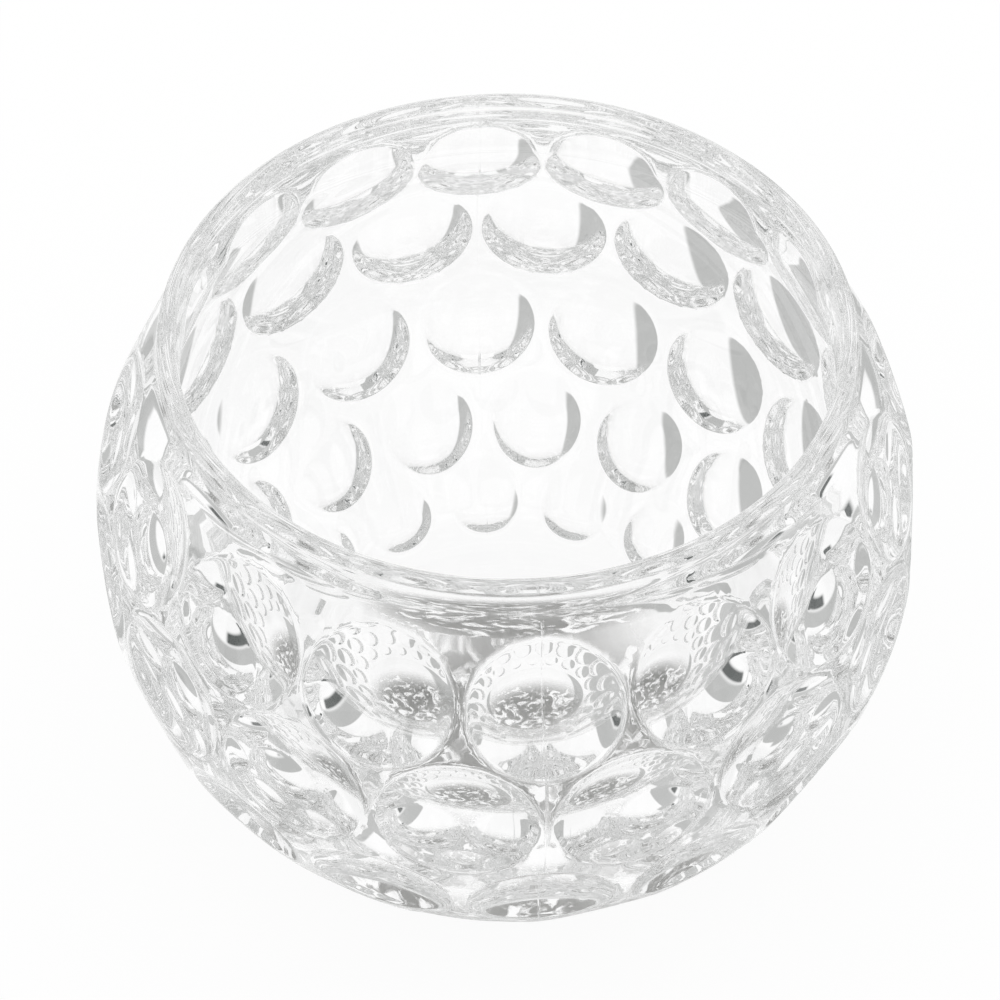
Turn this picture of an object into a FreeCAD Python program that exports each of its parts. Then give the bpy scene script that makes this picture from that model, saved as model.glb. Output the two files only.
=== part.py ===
import FreeCAD, Part
import Sketcher
import math
import os

# Clear pressed-glass bowl for a floating candle: a barrel-shaped vessel with a
# smooth inside, a plain rounded rim and staggered rows of round hollows pressed
# into its outside. Millimetres, +Z up, the origin in the middle of the foot.
# The vessel is one solid of revolution, and a ball cuts each of its hollows.

DRIVING_SIZES = [
    # Outside of the wall, from the foot up to the rim
    ("heel_radius", 3.0, "round between the resting ring and the wall"),
    ("taper_angle", 31.7, "lean of the straight wall below the belly"),
    ("belly_radius", 64.4, "from the axis to the widest place, between the hollows"),
    ("belly_height", 59.0, "height of the widest place"),
    ("lower_arc_radius", 68.5, "roundness of the belly below it, seen from the side"),
    ("upper_arc_radius", 62.4, "roundness of the belly above it"),
    ("neck_inset", 13.3, "how far the collar stands in from the widest place"),
    ("shoulder_radius", 7.2, "hollow curve between the belly and the collar"),
    ("collar_height", 1.71, "from the end of that curve to the top of the rim"),
    # Thickness of the glass
    ("rim_wall", 2.8, "at the rim"),
    ("belly_wall", 8.4, "at the widest place, between the hollows"),
    ("bore_arc_radius", 64.3, "roundness of the inside, seen from the side"),
    ("bore_lift", 2.5, "the inside sits this much higher, so the glass thickens downwards"),
    ("floor_height", 8.5, "from the resting ring to the floor inside"),
    ("floor_corner_radius", 14.0, "round between the floor and the inner wall"),
    # Hollow under the foot
    ("ring_width", 6.0, "flat of the resting ring"),
    ("recess_depth", 1.2, "hollow in the middle of the foot"),
    # Hollows: staggered rows of shallow ball cuts
    ("hollow_count", 16, "hollows in each row"),
    ("crown_row_angle", 24.1, "crown row, up from the widest place about the belly's centre"),
    ("upper_row_angle", 5.1, "upper row, up from the widest place"),
    ("middle_row_angle", 15.0, "middle row, down from the widest place"),
    ("foot_row_drop", 16.0, "foot row below the belly, along the straight wall"),
    ("crown_web", 1.3, "glass between neighbours of the crown row"),
    ("upper_web", 1.6, "glass between neighbours of the upper row"),
    ("middle_web", 2.3, "glass between neighbours of the middle row"),
    ("lower_web", 3.3, "glass between neighbours of the lower row"),
    ("foot_web", 4.0, "glass between neighbours of the foot row"),
    ("hollow_ball_radius", 20.0, "roundness of the three upper rows"),
    ("lower_ball_radius", 15.0, "roundness of the lower row"),
    ("foot_ball_radius", 13.5, "roundness of the foot row"),
]

document = FreeCAD.newDocument("candle_bowl")
sheet = document.addObject("Spreadsheet::Sheet", "sizes")
for line_number, (alias, value, meaning) in enumerate(DRIVING_SIZES, start=1):
    sheet.set(f"A{line_number}", meaning)
    sheet.set(f"B{line_number}", str(value))
    sheet.setAlias(f"B{line_number}", alias)
document.recompute()

START, END, CENTRE = 1, 2, 3
HORIZONTAL_AXIS, VERTICAL_AXIS = -1, -2
ORIGIN = (-1, 1)


def size(alias):
    """A driving size, as a plain number."""
    return float(sheet.get(alias))


def origin_feature(body, role):
    """An axis or a plane of the body's own origin."""
    return next(item for item in body.Origin.OriginFeatures if item.Role == role)


def point(across, up):
    return FreeCAD.Vector(across, up, 0)


def towards(angle, distance):
    """The step of that length in the direction of an angle in degrees."""
    return point(math.cos(math.radians(angle)), math.sin(math.radians(angle))) * distance


def line(first, last):
    return Part.LineSegment(first, last)


def arc(centre, radius, first_angle, last_angle):
    """An arc that runs anticlockwise between two angles in degrees."""
    circle = Part.Circle(centre, FreeCAD.Vector(0, 0, 1), radius)
    return Part.ArcOfCircle(circle, math.radians(first_angle), math.radians(last_angle))


def join_up(sketch, joins):
    for join in joins:
        sketch.addConstraint(Sketcher.Constraint(*join))


def bind(sketch, kind, places, value, formula):
    """Add a dimension to a sketch and tie it to the sheet."""
    index = sketch.addConstraint(Sketcher.Constraint(kind, *places, value))
    sketch.setExpression(f"Constraints[{index}]", formula)


def wall_outline(body):
    """Half section of the vessel, from the foot round the rim to the floor.

    The belly is two arcs that meet at the widest place. The lower one runs on
    straight to the heel, and the upper one bends out into the collar. The
    inside is one arc, set a little higher than the belly.
    """
    heel, taper = size("heel_radius"), size("taper_angle")
    belly, belly_height = size("belly_radius"), size("belly_height")
    lower_arc, upper_arc = size("lower_arc_radius"), size("upper_arc_radius")
    shoulder, rim_wall = size("shoulder_radius"), size("rim_wall")
    floor, corner = size("floor_height"), size("floor_corner_radius")
    depth = size("recess_depth")

    lower_centre = point(belly - lower_arc, belly_height)
    upper_centre = point(belly - upper_arc, belly_height)
    belly_end = lower_centre + towards(-taper, lower_arc)
    lean_cos, lean_sin = math.cos(math.radians(taper)), math.sin(math.radians(taper))
    heel_across = lower_centre.x + (lower_arc - heel - (belly_height - heel) * lean_sin) / lean_cos
    heel_centre = point(heel_across, heel)
    recess = heel_across - size("ring_width")
    recess_arc = (recess ** 2 + depth ** 2) / (2 * depth)

    collar = belly - size("neck_inset")
    shoulder_turn = math.degrees(math.acos((collar + shoulder - upper_centre.x) / (upper_arc + shoulder)))
    shoulder_centre = upper_centre + towards(shoulder_turn, upper_arc + shoulder)
    rim = rim_wall / 2
    rim_up = shoulder_centre.y + size("collar_height") - rim

    bore_arc = size("bore_arc_radius")
    bore_centre = point(belly - size("belly_wall") - bore_arc, belly_height + size("bore_lift"))
    mouth = shoulder + rim_wall
    mouth_turn = math.degrees(math.acos((collar + shoulder - bore_centre.x) / (bore_arc + mouth)))
    mouth_centre = bore_centre + towards(mouth_turn, bore_arc + mouth)
    corner_fall = bore_centre.y - floor - corner
    corner_centre = point(bore_centre.x + (bore_arc - corner - corner_fall * lean_sin) / lean_cos,
                          floor + corner)

    sketch = body.newObject("Sketcher::SketchObject", "wall_outline")
    sketch.AttachmentSupport = (origin_feature(body, "XZ_Plane"), [""])
    sketch.MapMode = "FlatFace"
    (recess_curve, ring, heel_curve, taper_line, lower_belly, upper_belly, shoulder_curve, collar_line,
     rim_curve, mouth_line, mouth_curve, bore_curve, bore_taper, corner_curve, floor_line,
     axis_line) = sketch.addGeometry([
         arc(point(0, depth - recess_arc), recess_arc, math.degrees(math.acos(recess / recess_arc)), 90),
         line(point(recess, 0), point(heel_across, 0)),
         arc(heel_centre, heel, -90, -taper),
         line(heel_centre + towards(-taper, heel), belly_end),
         arc(lower_centre, lower_arc, -taper, 0),
         arc(upper_centre, upper_arc, 0, shoulder_turn),
         arc(shoulder_centre, shoulder, 180, 180 + shoulder_turn),
         line(point(collar, shoulder_centre.y), point(collar, rim_up)),
         arc(point(collar - rim, rim_up), rim, 0, 180),
         line(point(collar - rim_wall, rim_up), point(collar - rim_wall, mouth_centre.y)),
         arc(mouth_centre, mouth, 180, 180 + mouth_turn),
         arc(bore_centre, bore_arc, -taper, mouth_turn),
         line(bore_centre + towards(-taper, bore_arc), corner_centre + towards(-taper, corner)),
         arc(corner_centre, corner, -90, -taper),
         line(point(corner_centre.x, floor), point(0, floor)),
         line(point(0, floor), point(0, depth)),
     ])
    join_up(sketch, [
        ("Coincident", recess_curve, START, ring, START),
        ("Tangent", ring, END, heel_curve, START),
        ("Tangent", heel_curve, END, taper_line, START),
        ("Tangent", taper_line, END, lower_belly, START),
        ("Tangent", lower_belly, END, upper_belly, START),
        ("Tangent", upper_belly, END, shoulder_curve, END),
        ("Tangent", shoulder_curve, START, collar_line, START),
        ("Tangent", collar_line, END, rim_curve, START),
        ("Tangent", rim_curve, END, mouth_line, START),
        ("Tangent", mouth_line, END, mouth_curve, START),
        ("Tangent", mouth_curve, END, bore_curve, END),
        ("Tangent", bore_curve, START, bore_taper, START),
        ("Tangent", bore_taper, END, corner_curve, END),
        ("Tangent", corner_curve, START, floor_line, START),
        ("Coincident", floor_line, END, axis_line, START),
        ("Coincident", axis_line, END, recess_curve, END),
        ("PointOnObject", ring, START, HORIZONTAL_AXIS),
        ("PointOnObject", recess_curve, CENTRE, VERTICAL_AXIS),
        ("PointOnObject", recess_curve, END, VERTICAL_AXIS),
        ("PointOnObject", floor_line, END, VERTICAL_AXIS),
        ("Horizontal", ring),
        ("Vertical", collar_line),
        ("Horizontal", floor_line),
        ("Parallel", taper_line, bore_taper),
    ])
    for kind, places, value, formula in [
        ("Radius", (heel_curve,), heel, "sizes.heel_radius"),
        ("Angle", (VERTICAL_AXIS, START, taper_line, START), -math.radians(taper),
         "-sizes.taper_angle * 1 deg"),
        ("Radius", (lower_belly,), lower_arc, "sizes.lower_arc_radius"),
        ("DistanceX", (*ORIGIN, lower_belly, CENTRE), lower_centre.x,
         "sizes.belly_radius - sizes.lower_arc_radius"),
        ("DistanceY", (*ORIGIN, lower_belly, CENTRE), belly_height, "sizes.belly_height"),
        ("Radius", (upper_belly,), upper_arc, "sizes.upper_arc_radius"),
        ("DistanceY", (*ORIGIN, upper_belly, CENTRE), belly_height, "sizes.belly_height"),
        ("Radius", (shoulder_curve,), shoulder, "sizes.shoulder_radius"),
        ("DistanceX", (*ORIGIN, collar_line, START), collar, "sizes.belly_radius - sizes.neck_inset"),
        ("DistanceY", (collar_line, START, rim_curve, CENTRE), rim_up - shoulder_centre.y,
         "sizes.collar_height - sizes.rim_wall / 2"),
        ("Radius", (rim_curve,), rim, "sizes.rim_wall / 2"),
        ("Radius", (mouth_curve,), mouth, "sizes.shoulder_radius + sizes.rim_wall"),
        ("Radius", (bore_curve,), bore_arc, "sizes.bore_arc_radius"),
        ("DistanceX", (*ORIGIN, bore_curve, CENTRE), bore_centre.x,
         "sizes.belly_radius - sizes.belly_wall - sizes.bore_arc_radius"),
        ("DistanceY", (*ORIGIN, bore_curve, CENTRE), bore_centre.y, "sizes.belly_height + sizes.bore_lift"),
        ("Radius", (corner_curve,), corner, "sizes.floor_corner_radius"),
        ("DistanceY", (*ORIGIN, floor_line, END), floor, "sizes.floor_height"),
        ("DistanceX", (ring, START, ring, END), heel_across - recess, "sizes.ring_width"),
        ("DistanceY", (*ORIGIN, recess_curve, END), depth, "sizes.recess_depth"),
    ]:
        bind(sketch, kind, places, value, formula)
    return sketch


def hollow_row(body, name, plane, row_angle, row_across, row_up, web, ball):
    """One row of hollows: a ball cut into the wall, repeated about the axis.

    The arguments after the plane are formulas of the sheet: the tilt of the
    wall there, the place of the hollow's middle on it, the glass left between
    two neighbours and the radius of the ball. The ball stands so far out of
    the wall that its cut is just as wide as the webs allow.
    """
    half_width = f"({row_across} * sin(180 / sizes.hollow_count) - {web} / 2)"
    girth = f"({row_across} / cos({row_angle}))"
    out = f"(sqrt({ball}^2 - {half_width}^2) - {girth} + sqrt({girth}^2 - {half_width}^2))"

    hollow = body.newObject("PartDesign::SubtractiveSphere", f"{name}_hollow")
    hollow.AttachmentSupport = (plane, [""])
    hollow.MapMode = "FlatFace"
    hollow.setExpression("AttachmentOffset.Base.x", f"{row_across} + {out} * cos({row_angle})")
    hollow.setExpression("AttachmentOffset.Base.y", f"{row_up} + {out} * sin({row_angle})")
    hollow.setExpression("AttachmentOffset.Rotation.Angle", row_angle)
    hollow.setExpression("Radius", ball)
    hollow.Refine = False
    body.Tip = hollow

    row = body.newObject("PartDesign::PolarPattern", f"{name}_row")
    row.Originals = [hollow]
    row.Axis = (origin_feature(body, "Z_Axis"), [""])
    row.Angle = 360
    row.setExpression("Occurrences", "sizes.hollow_count")
    row.Refine = False
    body.Tip = row


def glass_bowl():
    """The whole vessel: the plain wall first, then the five rows of hollows."""
    body = document.addObject("PartDesign::Body", "glass_bowl")
    body.Label = "glass_bowl"

    wall = body.newObject("PartDesign::Revolution", "wall")
    wall.Profile = wall_outline(body)
    wall.ReferenceAxis = (wall.Profile[0], ["V_Axis"])
    wall.Angle = 360
    body.Tip = wall

    # Every second row stands half a hollow further round than its neighbours
    in_line = origin_feature(body, "XZ_Plane")
    half_way = body.newObject("PartDesign::Plane", "half_way_plane")
    half_way.AttachmentSupport = (in_line, [""])
    half_way.MapMode = "FlatFace"
    half_way.AttachmentOffset = FreeCAD.Placement(
        FreeCAD.Vector(), FreeCAD.Rotation(FreeCAD.Vector(0, 1, 0), 1))
    half_way.setExpression("AttachmentOffset.Rotation.Angle", "180 / sizes.hollow_count")

    # Two rows lie above the widest place or on it, one below it and one at the belly's end
    taper_angle = "(sizes.taper_angle * 1 deg)"
    for name, plane, row_angle, arc_radius, ball in [
        ("crown", in_line, "(sizes.crown_row_angle * 1 deg)", "sizes.upper_arc_radius",
         "sizes.hollow_ball_radius"),
        ("upper", half_way, "(sizes.upper_row_angle * 1 deg)", "sizes.upper_arc_radius",
         "sizes.hollow_ball_radius"),
        ("middle", in_line, "(-sizes.middle_row_angle * 1 deg)", "sizes.lower_arc_radius",
         "sizes.hollow_ball_radius"),
        ("lower", half_way, f"(-{taper_angle})", "sizes.lower_arc_radius", "sizes.lower_ball_radius"),
    ]:
        hollow_row(body, name, plane, row_angle,
                   f"(sizes.belly_radius - {arc_radius} + {arc_radius} * cos({row_angle}))",
                   f"(sizes.belly_height + {arc_radius} * sin({row_angle}))",
                   f"sizes.{name}_web", ball)

    # The foot row sits on the straight wall, square to it
    hollow_row(body, "foot", in_line, f"(-{taper_angle})",
               f"(sizes.belly_radius - sizes.lower_arc_radius + sizes.lower_arc_radius * cos({taper_angle})"
               f" - sizes.foot_row_drop * sin({taper_angle}))",
               f"(sizes.belly_height - sizes.lower_arc_radius * sin({taper_angle})"
               f" - sizes.foot_row_drop * cos({taper_angle}))",
               "sizes.foot_web", "sizes.foot_ball_radius")
    return body


bowl = glass_bowl()
document.recompute()

for item in document.Objects:
    if "Invalid" in item.State or "Error" in item.State:
        raise RuntimeError(f"{item.Name} failed: {item.State}")
if bowl.Shape.isNull() or not bowl.Shape.isValid():
    raise RuntimeError("the bowl has no valid solid")

os.makedirs("parts", exist_ok=True)
bowl.Shape.exportStep(os.path.join("parts", f"{bowl.Label}.step"))
print("solids", len(bowl.Shape.Solids), "faces", len(bowl.Shape.Faces))
print("volume", round(bowl.Shape.Volume), "box", bowl.Shape.BoundBox)
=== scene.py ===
import math
from collections import namedtuple

import bpy
from mathutils import Matrix, Vector
from mathutils.geometry import delaunay_2d_cdt


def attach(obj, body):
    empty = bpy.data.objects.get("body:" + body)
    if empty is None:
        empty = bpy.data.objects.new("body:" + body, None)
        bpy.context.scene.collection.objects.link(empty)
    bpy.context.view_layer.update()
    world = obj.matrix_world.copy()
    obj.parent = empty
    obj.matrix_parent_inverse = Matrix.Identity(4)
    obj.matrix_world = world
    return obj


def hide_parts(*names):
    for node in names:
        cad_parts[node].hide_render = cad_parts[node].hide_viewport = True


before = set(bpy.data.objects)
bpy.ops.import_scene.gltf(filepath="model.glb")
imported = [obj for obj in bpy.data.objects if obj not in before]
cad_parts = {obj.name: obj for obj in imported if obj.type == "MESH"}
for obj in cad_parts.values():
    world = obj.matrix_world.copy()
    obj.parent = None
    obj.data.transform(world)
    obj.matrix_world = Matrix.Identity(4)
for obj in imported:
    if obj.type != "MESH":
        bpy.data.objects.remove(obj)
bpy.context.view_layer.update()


# The bowl. One piece of clear colourless soda-lime glass, pressed in a two-part
# mould with a smooth plunger, then fire-polished. Its outside carries five
# staggered rows of sixteen round hollows between the foot and the neck.

# Sizes in millimetres; TAPER is how far the straight wall above the foot leans out
MM = 0.001
BELLY_RADIUS = 64.4
BELLY_HEIGHT = 59.0
LOWER_ARC = 68.5
UPPER_ARC = 62.4
TAPER = math.radians(31.7)
HEEL_ARC = 3.0
SHOULDER_ARC = 7.2
NECK_INSET = 13.3
COLLAR_HEIGHT = 1.71
RIM_WALL = 2.8
BELLY_WALL = 8.4
BORE_ARC = 64.3
BORE_LIFT = 2.5
FLOOR_HEIGHT = 8.5
FLOOR_CORNER = 14.0
RING_WIDTH = 6.0
RECESS_DEPTH = 1.2

HOLLOW_COUNT = 16
PITCH = 2 * math.pi / HOLLOW_COUNT
CROWN_RISE = math.radians(24.1)
UPPER_RISE = math.radians(5.1)
MIDDLE_DROP = math.radians(15.0)
FOOT_DROP = 16.0
WEB_SOFTNESS = 0.2


def polar(centre, radius, angle):
    """The point of a circle at that angle, in the plane of the section."""
    return centre[0] + radius * math.cos(angle), centre[1] + radius * math.sin(angle)


def arc_points(centre, radius, first, last, steps):
    """Points along an arc of the section, without its first point."""
    return [polar(centre, radius, first + (last - first) * step / steps)
            for step in range(1, steps + 1)]


def line_points(first, last, steps):
    """Points along a straight of the section, without its first point."""
    return [(first[0] + (last[0] - first[0]) * step / steps,
             first[1] + (last[1] - first[1]) * step / steps) for step in range(1, steps + 1)]


lower_centre = (BELLY_RADIUS - LOWER_ARC, BELLY_HEIGHT)
upper_centre = (BELLY_RADIUS - UPPER_ARC, BELLY_HEIGHT)
belly_end = polar(lower_centre, LOWER_ARC, -TAPER)
heel_reach = ((LOWER_ARC - HEEL_ARC - (BELLY_HEIGHT - HEEL_ARC) * math.sin(TAPER))
              / math.cos(TAPER))
heel_centre = (lower_centre[0] + heel_reach, HEEL_ARC)
heel_end = polar(heel_centre, HEEL_ARC, -TAPER)
taper_length = math.dist(heel_end, belly_end)
shoulder_turn = math.acos(1 - NECK_INSET / (UPPER_ARC + SHOULDER_ARC))
girdle_place = taper_length + LOWER_ARC * TAPER
wall_length = girdle_place + UPPER_ARC * shoulder_turn


def wall_place(along):
    """Distance from the axis, height and tilt of the wall, that far up from the heel."""
    if along < taper_length:
        share = along / taper_length
        return (heel_end[0] + (belly_end[0] - heel_end[0]) * share,
                heel_end[1] + (belly_end[1] - heel_end[1]) * share, -TAPER)
    if along < girdle_place:
        tilt = (along - girdle_place) / LOWER_ARC
        return (*polar(lower_centre, LOWER_ARC, tilt), tilt)
    tilt = (along - girdle_place) / UPPER_ARC
    return (*polar(upper_centre, UPPER_ARC, tilt), tilt)


def wall_point(turn, along, lift=0.0):
    """A point at that lift square to the wall, and the direction that points out of it."""
    across, up, tilt = wall_place(along)
    out = Vector((math.cos(tilt) * math.cos(turn), math.cos(tilt) * math.sin(turn),
                  math.sin(tilt)))
    foot = Vector((across * math.cos(turn), across * math.sin(turn), up))
    return foot + out * lift, out


# Rows from the crown down to the foot: place up the wall, turn as a share of the
# pitch, web to the neighbour, and radius of the ball that presses the hollow
rows = [
    (girdle_place + UPPER_ARC * CROWN_RISE, 0.0, 1.3, 20.0),
    (girdle_place + UPPER_ARC * UPPER_RISE, 0.5, 1.6, 20.0),
    (girdle_place - LOWER_ARC * MIDDLE_DROP, 0.0, 2.3, 20.0),
    (taper_length, 0.5, 3.3, 15.0),
    (taper_length - FOOT_DROP, 0.0, 4.0, 13.5),
]

# The hollows that can reach into the first half pitch, with two neighbours more
Hollow = namedtuple("Hollow", "turn along across half_width ball centre")
hollows = []
for along, stagger, web, ball in rows:
    across, _, tilt = wall_place(along)
    half_width = across * math.sin(PITCH / 2) - web / 2
    girth = across / math.cos(tilt)
    bulge = girth - math.sqrt(girth ** 2 - half_width ** 2)
    rise = math.sqrt(ball ** 2 - half_width ** 2) - bulge
    for step in (-1, 0, 1, 2):
        turn = (step + stagger) * PITCH
        middle, out = wall_point(turn, along)
        hollows.append(Hollow(turn, along, across, half_width, ball, middle + out * rise))


def cut_depth(hollow, turn, along):
    """How deep the ball of a hollow cuts into the wall there; negative beyond its edge."""
    foot, out = wall_point(turn, along)
    towards = foot - hollow.centre
    slant = towards.dot(out)
    under_root = slant ** 2 - towards.length_squared + hollow.ball ** 2
    return math.sqrt(under_root) + slant if under_root > 0 else -hollow.ball


def glass_point(turn, along):
    """The glass surface with its hollows, the edges between them rounded by the heat."""
    depths = [cut_depth(hollow, turn, along) for hollow in hollows]
    total = 1 + sum(math.exp(depth / WEB_SOFTNESS) for depth in depths)
    return wall_point(turn, along, -WEB_SOFTNESS * math.log(total))[0]


FARTHEST_EDGE = 1.6
EDGE_PRECISION = 0.001


def hollow_reach(hollow, heading):
    """Distance from the middle of a hollow to its edge, in one direction along the wall."""
    near, far = 0.0, FARTHEST_EDGE * hollow.half_width
    while far - near > EDGE_PRECISION:
        reach = (near + far) / 2
        turn = hollow.turn + reach * math.cos(heading) / hollow.across
        inside = cut_depth(hollow, turn, hollow.along + reach * math.sin(heading)) > 0
        near, far = (reach, far) if inside else (near, reach)
    return near


# Half a pitch of the wall: a net of points that follows each hollow's edge
COLUMNS = 12
ROUND_POINTS = 48
EDGE_RINGS = (-2.2, -1.3, -0.7, -0.3, 0.0, 0.4, 1.0)
INNER_SHARES = (0.18, 0.36, 0.53, 0.68)
FILL_SPACING = 1.2
CLEAR_OF_EDGE = 0.6
CLEAR_OF_WALL_END = 0.3
CLEAR_OF_NEIGHBOUR = 0.12
SAME_TURN = 1e-6
SAME_HEIGHT = 1e-4
SAME_POINT = 0.02
CONVEX_HULL = 0
half_pitch = PITCH / 2

net = [(half_pitch * column / COLUMNS, along)
       for along in (0.0, wall_length) for column in range(COLUMNS + 1)]
for hollow in hollows:
    if not -SAME_TURN < hollow.turn < half_pitch + SAME_TURN:
        continue
    others = [other for other in hollows if other is not hollow]
    net.append((hollow.turn, hollow.along))
    for step in range(ROUND_POINTS):
        heading = 2 * math.pi * step / ROUND_POINTS
        edge = hollow_reach(hollow, heading)
        reaches = [edge * share for share in INNER_SHARES]
        reaches += [edge + beyond for beyond in EDGE_RINGS]
        for reach in reaches:
            turn = hollow.turn + reach * math.cos(heading) / hollow.across
            along = hollow.along + reach * math.sin(heading)
            for side in (0.0, half_pitch):
                turn = side if abs(turn - side) < SAME_TURN else turn
            if not 0 <= turn <= half_pitch:
                continue
            if not CLEAR_OF_WALL_END < along < wall_length - CLEAR_OF_WALL_END:
                continue
            allowed = -CLEAR_OF_NEIGHBOUR if reach > edge else 0
            if max(cut_depth(other, turn, along) for other in others) <= allowed:
                net.append((turn, along))

fill_columns = round(half_pitch * BELLY_RADIUS / FILL_SPACING)
fill_rows = round(wall_length / FILL_SPACING)
for level in range(1, fill_rows):
    for column in range(fill_columns + 1):
        turn, along = half_pitch * column / fill_columns, wall_length * level / fill_rows
        if max(cut_depth(hollow, turn, along) for hollow in hollows) < -CLEAR_OF_EDGE:
            net.append((turn, along))

chart = [Vector((turn * BELLY_RADIUS, along)) for turn, along in net]
corners, _, faces, _, _, _ = delaunay_2d_cdt(chart, [], [], CONVEX_HULL, SAME_POINT)
points = [glass_point(corner.x / BELLY_RADIUS, corner.y) for corner in corners]
outside_count = len(points)
bottom_edge, top_edge = {}, {}
for index, corner in enumerate(corners):
    column = round(corner.x / BELLY_RADIUS / half_pitch * COLUMNS)
    if corner.y < SAME_HEIGHT:
        bottom_edge[column] = index
    if corner.y > wall_length - SAME_HEIGHT:
        top_edge[column] = index

# The rest of the section: over the neck and rim to the floor inside, and under the foot
collar = BELLY_RADIUS - NECK_INSET
shoulder_centre = polar(upper_centre, UPPER_ARC + SHOULDER_ARC, shoulder_turn)
rim = RIM_WALL / 2
rim_centre = (collar - rim, shoulder_centre[1] + COLLAR_HEIGHT - rim)
bore_centre = (BELLY_RADIUS - BELLY_WALL - BORE_ARC, BELLY_HEIGHT + BORE_LIFT)
mouth_arc = SHOULDER_ARC + RIM_WALL
mouth_turn = math.acos((collar + SHOULDER_ARC - bore_centre[0]) / (BORE_ARC + mouth_arc))
mouth_centre = polar(bore_centre, BORE_ARC + mouth_arc, mouth_turn)
corner_drop = bore_centre[1] - FLOOR_HEIGHT - FLOOR_CORNER
corner_reach = (BORE_ARC - FLOOR_CORNER - corner_drop * math.sin(TAPER)) / math.cos(TAPER)
corner_centre = (bore_centre[0] + corner_reach, FLOOR_HEIGHT + FLOOR_CORNER)
bore_end = polar(bore_centre, BORE_ARC, -TAPER)
corner_end = polar(corner_centre, FLOOR_CORNER, -TAPER)
recess = heel_centre[0] - RING_WIDTH
recess_arc = (recess ** 2 + RECESS_DEPTH ** 2) / (2 * RECESS_DEPTH)
recess_turn = math.acos(recess / recess_arc)
recess_centre = (0, RECESS_DEPTH - recess_arc)
plumb = math.pi / 2

over_the_rim = (
    arc_points(shoulder_centre, SHOULDER_ARC, math.pi + shoulder_turn, math.pi, steps=6)
    + line_points((collar, shoulder_centre[1]), (collar, rim_centre[1]), steps=1)
    + arc_points(rim_centre, rim, 0, math.pi, steps=10)
    + line_points((collar - RIM_WALL, rim_centre[1]), (collar - RIM_WALL, mouth_centre[1]), steps=3)
    + arc_points(mouth_centre, mouth_arc, math.pi, math.pi + mouth_turn, steps=5)
    + arc_points(bore_centre, BORE_ARC, mouth_turn, -TAPER, steps=32)
    + line_points(bore_end, corner_end, steps=6)
    + arc_points(corner_centre, FLOOR_CORNER, -TAPER, -plumb, steps=10)
    + line_points((corner_centre[0], FLOOR_HEIGHT), (0, FLOOR_HEIGHT), steps=8)
)
under_the_foot = (
    arc_points(heel_centre, HEEL_ARC, -TAPER, -plumb, steps=6)
    + line_points((heel_centre[0], 0), (recess, 0), steps=3)
    + arc_points(recess_centre, recess_arc, recess_turn, plumb, steps=8)
)


def add_rings(edge, section, turned_in):
    """Carry the wall's edge on along the section, column by column, to a pole on the axis."""
    for step, (across, up) in enumerate(section):
        if step == len(section) - 1:
            pole = len(points)
            points.append(Vector((0, 0, up)))
            ring = {column: pole for column in range(COLUMNS + 1)}
        else:
            ring = {}
            for column in range(COLUMNS + 1):
                turn = half_pitch * column / COLUMNS
                ring[column] = len(points)
                points.append(Vector((across * math.cos(turn), across * math.sin(turn), up)))
        for column in range(COLUMNS):
            face = [edge[column], edge[column + 1], ring[column + 1], ring[column]]
            face = list(dict.fromkeys(face))
            faces.append(face if turned_in else face[::-1])
        edge = ring


add_rings(top_edge, over_the_rim, True)
add_rings(bottom_edge, under_the_foot, False)

# The mirrored half makes up one whole pitch, one hollow of each row
mirrored = [Vector((point.x, -point.y, point.z)) for point in points]
whole = [list(face) for face in faces]
whole += [[index + len(points) for index in reversed(face)] for face in faces]
pitch_mesh = bpy.data.meshes.new("bowl_pitch")
pitch_mesh.from_pydata([point * MM for point in points + mirrored], [], whole)
outside = pitch_mesh.attributes.new("outside", "FLOAT", "POINT")
half_outside = [1.0] * outside_count + [0.0] * (len(points) - outside_count)
outside.data.foreach_set("value", half_outside * 2)


def add(tree, kind, settings=(), inputs=()):
    """Add one node, with its settings and with its inputs set or linked."""
    node = tree.nodes.new(kind)
    for name, value in dict(settings).items():
        setattr(node, name, value)
    for name, value in dict(inputs).items():
        if isinstance(value, bpy.types.NodeSocket):
            tree.links.new(value, node.inputs[name])
        else:
            node.inputs[name].default_value = value
    return node


def linear(colour):
    """A hex colour as written in sRGB, turned to the linear values that Blender takes."""
    shares = [int(colour[start:start + 2], 16) / 255 for start in (1, 3, 5)]
    return (*[share / 12.92 if share <= 0.04045 else ((share + 0.055) / 1.055) ** 2.4
              for share in shares], 1.0)


# Pressed and fire-polished soda-lime glass: clear and colourless, its skin smooth as a
# mirror and slightly wavy, with a hair-fine seam where the halves of the mould met.
# Light on its way to the sheet is only dimmed by it, to the shade's colour.
GLASS_COLOUR = "#FFFFFF"
GLASS_IOR = 1.52
WAVE_LENGTH = 18.0
WAVE_HEIGHT = 0.06
WAVE_DETAIL = 1.0
SEAM_WIDTH = 0.5
SEAM_HEIGHT = 0.05
SHADE_COLOUR = "#D3D3D2"

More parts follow.
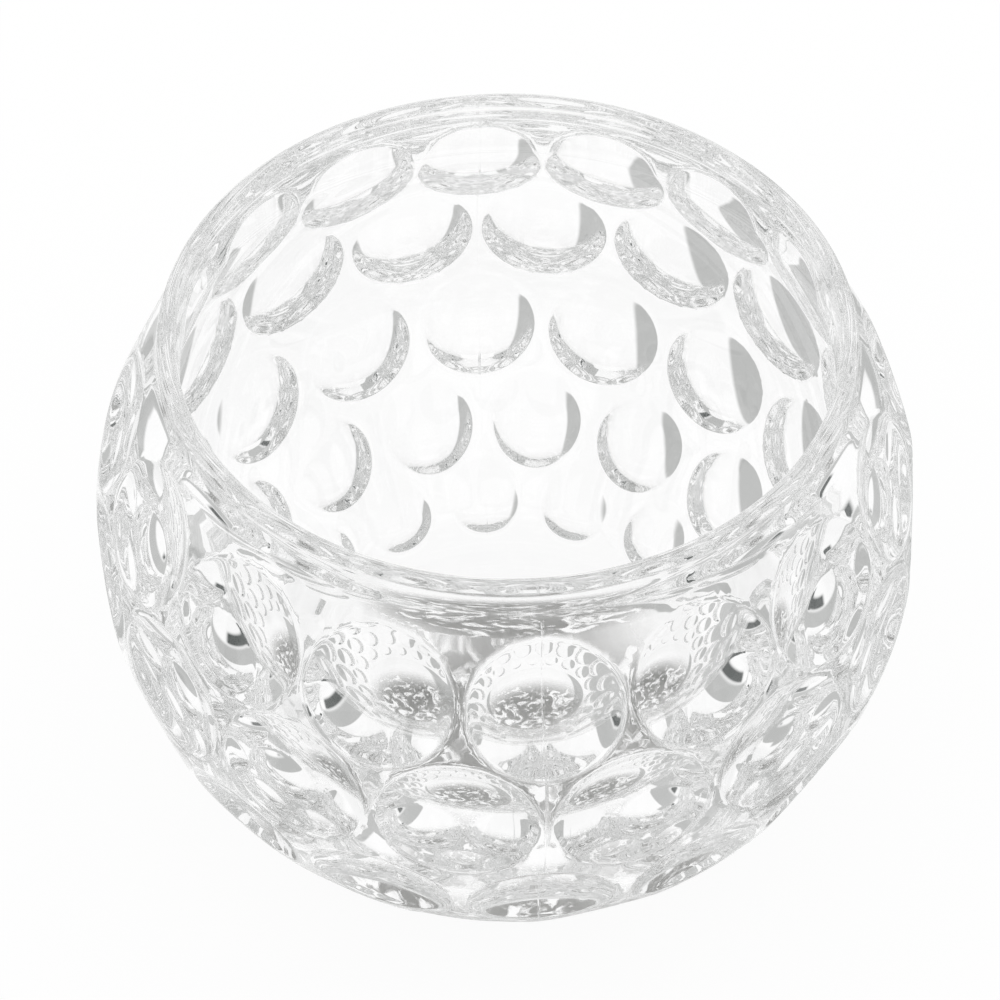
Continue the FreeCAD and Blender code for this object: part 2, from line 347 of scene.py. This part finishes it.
glass = bpy.data.materials.new("pressed_soda_lime_glass")
glass.use_nodes = True
tree = glass.node_tree
tree.nodes.clear()
coordinates = add(tree, "ShaderNodeTexCoord")
waves = add(tree, "ShaderNodeTexNoise", (), {
    "Vector": coordinates.outputs["Object"], "Scale": 1 / (WAVE_LENGTH * MM),
    "Detail": WAVE_DETAIL})
wave_height = add(tree, "ShaderNodeMath", {"operation": "MULTIPLY"}, {
    0: waves.outputs[0], 1: WAVE_HEIGHT * MM})
spread = add(tree, "ShaderNodeSeparateXYZ", (), {"Vector": coordinates.outputs["Object"]})
from_seam = add(tree, "ShaderNodeMath", {"operation": "ABSOLUTE"}, {0: spread.outputs["X"]})
ridge = add(tree, "ShaderNodeMapRange", {"interpolation_type": "SMOOTHSTEP"}, {
    "Value": from_seam.outputs[0], "From Min": SEAM_WIDTH / 2 * MM, "From Max": 0.0,
    "To Min": 0.0, "To Max": SEAM_HEIGHT * MM})
on_outside = add(tree, "ShaderNodeAttribute", {"attribute_name": "outside"})
seam = add(tree, "ShaderNodeMath", {"operation": "MULTIPLY"}, {
    0: ridge.outputs[0], 1: on_outside.outputs["Fac"]})
relief = add(tree, "ShaderNodeMath", {"operation": "ADD"}, {
    0: wave_height.outputs[0], 1: seam.outputs[0]})
skin = add(tree, "ShaderNodeBump", (), {
    "Height": relief.outputs[0], "Strength": 1.0, "Distance": 1.0})
body_glass = add(tree, "ShaderNodeBsdfPrincipled", (), {
    "Base Color": linear(GLASS_COLOUR), "Roughness": 0.0, "IOR": GLASS_IOR,
    "Transmission Weight": 1.0, "Normal": skin.outputs[0]})
dimmed_light = add(tree, "ShaderNodeBsdfTransparent", (), {"Color": linear(SHADE_COLOUR)})
ray = add(tree, "ShaderNodeLightPath")
to_the_sheet = add(tree, "ShaderNodeMath", {"operation": "MAXIMUM"}, {
    0: ray.outputs["Is Shadow Ray"], 1: ray.outputs["Is Diffuse Ray"]})
bowl_look = add(tree, "ShaderNodeMixShader", (), {
    0: to_the_sheet.outputs[0], 1: body_glass.outputs[0], 2: dimmed_light.outputs[0]})
add(tree, "ShaderNodeOutputMaterial", (), {"Surface": bowl_look.outputs[0]})

# Sixteen turned copies of the pitch close the ring, and their shared edges are merged
MERGE_DISTANCE = 0.002

ring_tree = bpy.data.node_groups.new("bowl_ring", "GeometryNodeTree")
for name, kind, direction in [
        ("Pitch", "NodeSocketGeometry", "INPUT"),
        ("Hollows in a row", "NodeSocketInt", "INPUT"),
        ("Merge distance", "NodeSocketFloat", "INPUT"),
        ("Glass", "NodeSocketMaterial", "INPUT"),
        ("Bowl", "NodeSocketGeometry", "OUTPUT")]:
    ring_tree.interface.new_socket(name=name, in_out=direction, socket_type=kind)
given = add(ring_tree, "NodeGroupInput")
stations = add(ring_tree, "GeometryNodeMeshLine", {"mode": "OFFSET"}, {
    "Count": given.outputs["Hollows in a row"], "Offset": (0.0, 0.0, 0.0)})
station = add(ring_tree, "GeometryNodeInputIndex")
one_pitch = add(ring_tree, "ShaderNodeMath", {"operation": "DIVIDE"}, {
    0: 2 * math.pi, 1: given.outputs["Hollows in a row"]})
station_turn = add(ring_tree, "ShaderNodeMath", {"operation": "MULTIPLY"}, {
    0: station.outputs[0], 1: one_pitch.outputs[0]})
about_axis = add(ring_tree, "ShaderNodeCombineXYZ", (), {"Z": station_turn.outputs[0]})
copies = add(ring_tree, "GeometryNodeInstanceOnPoints", (), {
    "Points": stations.outputs[0], "Instance": given.outputs["Pitch"],
    "Rotation": about_axis.outputs[0]})
realized = add(ring_tree, "GeometryNodeRealizeInstances", (), {0: copies.outputs[0]})
merged = add(ring_tree, "GeometryNodeMergeByDistance", (), {
    "Geometry": realized.outputs[0], "Distance": given.outputs["Merge distance"]})
smooth = add(ring_tree, "GeometryNodeSetShadeSmooth", (), {
    "Geometry": merged.outputs[0], "Shade Smooth": True})
in_glass = add(ring_tree, "GeometryNodeSetMaterial", (), {
    "Geometry": smooth.outputs[0], "Material": given.outputs["Glass"]})
add(ring_tree, "NodeGroupOutput", (), {0: in_glass.outputs[0]})

pitch_mesh.materials.append(glass)
pitch = bpy.data.objects.new("bowl_pitch", pitch_mesh)
bpy.context.scene.collection.objects.link(pitch)
closed_ring = pitch.modifiers.new("bowl_ring", "NODES")
closed_ring.node_group = ring_tree
settings = {"Hollows in a row": HOLLOW_COUNT, "Merge distance": MERGE_DISTANCE * MM, "Glass": glass}
for socket in ring_tree.interface.items_tree:
    if socket.name in settings:
        closed_ring[socket.identifier] = settings[socket.name]
evaluated = pitch.evaluated_get(bpy.context.evaluated_depsgraph_get())
bowl_mesh = bpy.data.meshes.new_from_object(evaluated)
bowl_mesh.name = "clear_bowl"
pitch.modifiers.clear()
bpy.data.objects.remove(pitch)
bowl = bpy.data.objects.new("clear_bowl", bowl_mesh)
bpy.context.scene.collection.objects.link(bowl)
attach(bowl, "root")
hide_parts("glass_bowl")


# The studio. The camera sees a matt white sheet under an even white sky. The
# glass sees greys, windows and flags round it as well, the usual way to give
# clear glass its edges on white.
SHEET_SIZE = 4.0
SHEET_DROP = 0.1
SHEET_COLOUR = "#FFFFFF"

# The glass sees the sheet's own shading only in a patch under the bowl, towards
# the camera. That patch is painted shade: its tone is the sheet's real shading, but
# its place and outline are painted. Noise in it makes painted caustics, bright marks
# that stand in for the light that the hollows gather. Elsewhere its rays go on to
# the white beyond. The camera loses most of the shading.
PAINTED_SHADOW_MIDDLE = Vector((0.0, -28.0, 0.0)) * MM
PAINTED_SHADOW_CORE, PAINTED_SHADOW_END = 26.0, 50.0
PAINTED_CAUSTIC_SCALE = 9.0
PAINTED_CAUSTIC_DETAIL, PAINTED_CAUSTIC_ROUGHNESS, PAINTED_CAUSTIC_DISTORTION = 3.0, 0.6, 1.5
PAINTED_CAUSTIC_FROM, PAINTED_CAUSTIC_TO = 0.46, 0.64
CAMERA_SHADOW_LOST = 0.93

half_sheet = SHEET_SIZE / 2
sheet_corners = [(-half_sheet, -half_sheet), (half_sheet, -half_sheet),
                 (half_sheet, half_sheet), (-half_sheet, half_sheet)]
sheet_mesh = bpy.data.meshes.new("white_sheet")
sheet_mesh.from_pydata([(x, y, -SHEET_DROP * MM) for x, y in sheet_corners], [], [(0, 1, 2, 3)])
white_sheet = bpy.data.materials.new("matt_white_paper")
white_sheet.use_nodes = True
tree = white_sheet.node_tree
tree.nodes.clear()
spot = add(tree, "ShaderNodeTexCoord")
# Painted shadow: the patch's place and outline are set on the sheet, not cast by light
from_painted_shadow = add(tree, "ShaderNodeVectorMath", {"operation": "DISTANCE"}, {
    0: spot.outputs["Object"], 1: PAINTED_SHADOW_MIDDLE})
outside_painted_shadow = add(tree, "ShaderNodeMapRange", {"interpolation_type": "SMOOTHSTEP"}, {
    "Value": from_painted_shadow.outputs["Value"],
    "From Min": PAINTED_SHADOW_CORE * MM, "From Max": PAINTED_SHADOW_END * MM})
# Painted caustics: noise marks bright spots in the patch, where the glass sees past the sheet
painted_caustic_noise = add(tree, "ShaderNodeTexNoise", (), {
    "Vector": spot.outputs["Object"], "Scale": 1 / (PAINTED_CAUSTIC_SCALE * MM),
    "Detail": PAINTED_CAUSTIC_DETAIL, "Roughness": PAINTED_CAUSTIC_ROUGHNESS,
    "Distortion": PAINTED_CAUSTIC_DISTORTION})
painted_caustic_spot = add(tree, "ShaderNodeMapRange", {"interpolation_type": "SMOOTHSTEP"}, {
    "Value": painted_caustic_noise.outputs[0], "From Min": PAINTED_CAUSTIC_FROM, "From Max": PAINTED_CAUSTIC_TO})
bright_spot = add(tree, "ShaderNodeMath", {"operation": "MAXIMUM"}, {
    0: outside_painted_shadow.outputs[0], 1: painted_caustic_spot.outputs[0]})
ray = add(tree, "ShaderNodeLightPath")
from_glass = add(tree, "ShaderNodeMath", {"operation": "MAXIMUM"}, {
    0: ray.outputs["Is Transmission Ray"], 1: ray.outputs["Is Glossy Ray"]})
passes_by = add(tree, "ShaderNodeMath", {"operation": "MULTIPLY"}, {
    0: bright_spot.outputs[0], 1: from_glass.outputs[0]})
paper = add(tree, "ShaderNodeBsdfDiffuse", (), {"Color": linear(SHEET_COLOUR)})
plain_white = add(tree, "ShaderNodeEmission", (), {
    "Color": linear(SHEET_COLOUR), "Strength": 1.0})
camera_share = add(tree, "ShaderNodeMath", {"operation": "MULTIPLY"}, {
    0: ray.outputs["Is Camera Ray"], 1: CAMERA_SHADOW_LOST})
sheet_look = add(tree, "ShaderNodeMixShader", (), {
    0: camera_share.outputs[0], 1: paper.outputs[0], 2: plain_white.outputs[0]})
nothing = add(tree, "ShaderNodeBsdfTransparent", (), {"Color": linear(SHEET_COLOUR)})
seen_sheet = add(tree, "ShaderNodeMixShader", (), {
    0: passes_by.outputs[0], 1: sheet_look.outputs[0], 2: nothing.outputs[0]})
add(tree, "ShaderNodeOutputMaterial", (), {"Surface": seen_sheet.outputs[0]})
sheet_mesh.materials.append(white_sheet)
sheet = bpy.data.objects.new("white_sheet", sheet_mesh)
bpy.context.scene.collection.objects.link(sheet)

# What the glass sees all round: a white field behind and before the bowl, grey
# beside it and above, a white window on each side, and a dark upright flag on
# each side of the camera. Each pair is where the fade starts and where it is
# full, as shares of the direction's length.
SIDE_GREY = "#BCBDBC"
FLAG_GREY = "#565A59"
FIELD_RIGHT, FIELD_LEFT = (0.41, 0.37), (-0.52, -0.48)
FRONT_HALF_WIDTH = (0.51, 0.49)
FIELD_TOP = (0.36, 0.32)
TURNED_BACK = (0.05, -0.05)
SIDE_WINDOW = (0.74, 0.80)
FLAG_INNER, FLAG_OUTER = (0.77, 0.81), (0.92, 0.88)

# A Mix node's inputs by number, because those for numbers and colours share names
NUMBER_A, NUMBER_B, COLOUR_A, COLOUR_B = 2, 3, 6, 7
MIXED_NUMBER, MIXED_COLOUR = 0, 2

world = bpy.data.worlds.new("soft_sky")
bpy.context.scene.world = world
world.use_nodes = True
tree = world.node_tree
tree.nodes.clear()
looked = add(tree, "ShaderNodeTexCoord")
sight = add(tree, "ShaderNodeSeparateXYZ", (), {"Vector": looked.outputs["Generated"]})
aside = add(tree, "ShaderNodeMath", {"operation": "ABSOLUTE"}, {0: sight.outputs["X"]})
fades = {}
for name, value, (start, full) in [
        ("right", sight.outputs["X"], FIELD_RIGHT),
        ("left", sight.outputs["X"], FIELD_LEFT),
        ("front", aside.outputs[0], FRONT_HALF_WIDTH),
        ("top", sight.outputs["Z"], FIELD_TOP),
        ("back", sight.outputs["Y"], TURNED_BACK),
        ("window", aside.outputs[0], SIDE_WINDOW),
        ("flag_inner", aside.outputs[0], FLAG_INNER),
        ("flag_outer", aside.outputs[0], FLAG_OUTER)]:
    fades[name] = add(tree, "ShaderNodeMapRange", {"interpolation_type": "SMOOTHSTEP"}, {
        "Value": value, "From Min": start, "From Max": full}).outputs[0]
behind = add(tree, "ShaderNodeMath", {"operation": "MULTIPLY"}, {
    0: fades["right"], 1: fades["left"]})
all_round = add(tree, "ShaderNodeMix", {"data_type": "FLOAT"}, {
    0: fades["back"], NUMBER_A: behind.outputs[0], NUMBER_B: fades["front"]})
field = add(tree, "ShaderNodeMath", {"operation": "MULTIPLY"}, {
    0: all_round.outputs[MIXED_NUMBER], 1: fades["top"]})
upright = add(tree, "ShaderNodeMath", {"operation": "MULTIPLY"}, {
    0: fades["flag_inner"], 1: fades["flag_outer"]})
flag = add(tree, "ShaderNodeMath", {"operation": "MULTIPLY"}, {
    0: upright.outputs[0], 1: fades["back"]})
no_flag = add(tree, "ShaderNodeMath", {"operation": "SUBTRACT"}, {0: 1.0, 1: flag.outputs[0]})
window = add(tree, "ShaderNodeMath", {"operation": "MULTIPLY"}, {
    0: fades["window"], 1: no_flag.outputs[0]})
white = add(tree, "ShaderNodeMath", {"operation": "MAXIMUM"}, {
    0: field.outputs[0], 1: window.outputs[0]})
ray = add(tree, "ShaderNodeLightPath")
from_glass = add(tree, "ShaderNodeMath", {"operation": "MAXIMUM"}, {
    0: ray.outputs["Is Transmission Ray"], 1: ray.outputs["Is Glossy Ray"]})
greys = add(tree, "ShaderNodeMix", {"data_type": "RGBA"}, {
    0: flag.outputs[0], COLOUR_A: linear(SIDE_GREY), COLOUR_B: linear(FLAG_GREY)})
surroundings = add(tree, "ShaderNodeMix", {"data_type": "RGBA"}, {
    0: white.outputs[0], COLOUR_A: greys.outputs[MIXED_COLOUR], COLOUR_B: linear(SHEET_COLOUR)})
seen_sky = add(tree, "ShaderNodeMix", {"data_type": "RGBA"}, {
    0: from_glass.outputs[0], COLOUR_A: linear(SHEET_COLOUR),
    COLOUR_B: surroundings.outputs[MIXED_COLOUR]})
white_sky = add(tree, "ShaderNodeBackground", (), {
    "Color": seen_sky.outputs[MIXED_COLOUR], "Strength": 1.0})
add(tree, "ShaderNodeOutputWorld", (), {"Surface": white_sky.outputs[0]})


# The camera stands in front of the bowl, turned a little to the left of a crown
# hollow, and looks down into the mouth at about 48 degrees.
EYE = Vector((-23.1, -247.4, 348.3)) * MM
AIM = Vector((0.0, 0.0, 71.1)) * MM
YAW, PITCH_DOWN, ROLL = math.radians(-0.16), math.radians(-1.04), math.radians(0.25)
FOCAL_LENGTH, SENSOR_WIDTH = 86.4, 36.0
CLIP_START = 10.0

forward = (AIM - EYE).normalized()
sideways = forward.cross(Vector((0, 0, 1))).normalized()
upward = sideways.cross(forward)
view_line = forward + math.tan(YAW) * sideways + math.tan(PITCH_DOWN) * upward
camera_data = bpy.data.cameras.new("camera")
camera_data.sensor_width = SENSOR_WIDTH
camera_data.lens = FOCAL_LENGTH
camera_data.clip_start = CLIP_START * MM
camera = bpy.data.objects.new("camera", camera_data)
camera.matrix_world = (Matrix.Translation(EYE)
                       @ view_line.to_track_quat("-Z", "Y").to_matrix().to_4x4()
                       @ Matrix.Rotation(ROLL, 4, "Z"))
bpy.context.scene.collection.objects.link(camera)
bpy.context.scene.camera = camera
bpy.context.scene.view_settings.view_transform = "Standard"

# Light runs on inside thick glass, so it needs more bounces than Blender's own count
GLASS_BOUNCES = 40
paths = bpy.context.scene.cycles
paths.max_bounces = paths.transmission_bounces = paths.glossy_bounces = GLASS_BOUNCES

bpy.context.view_layer.update()
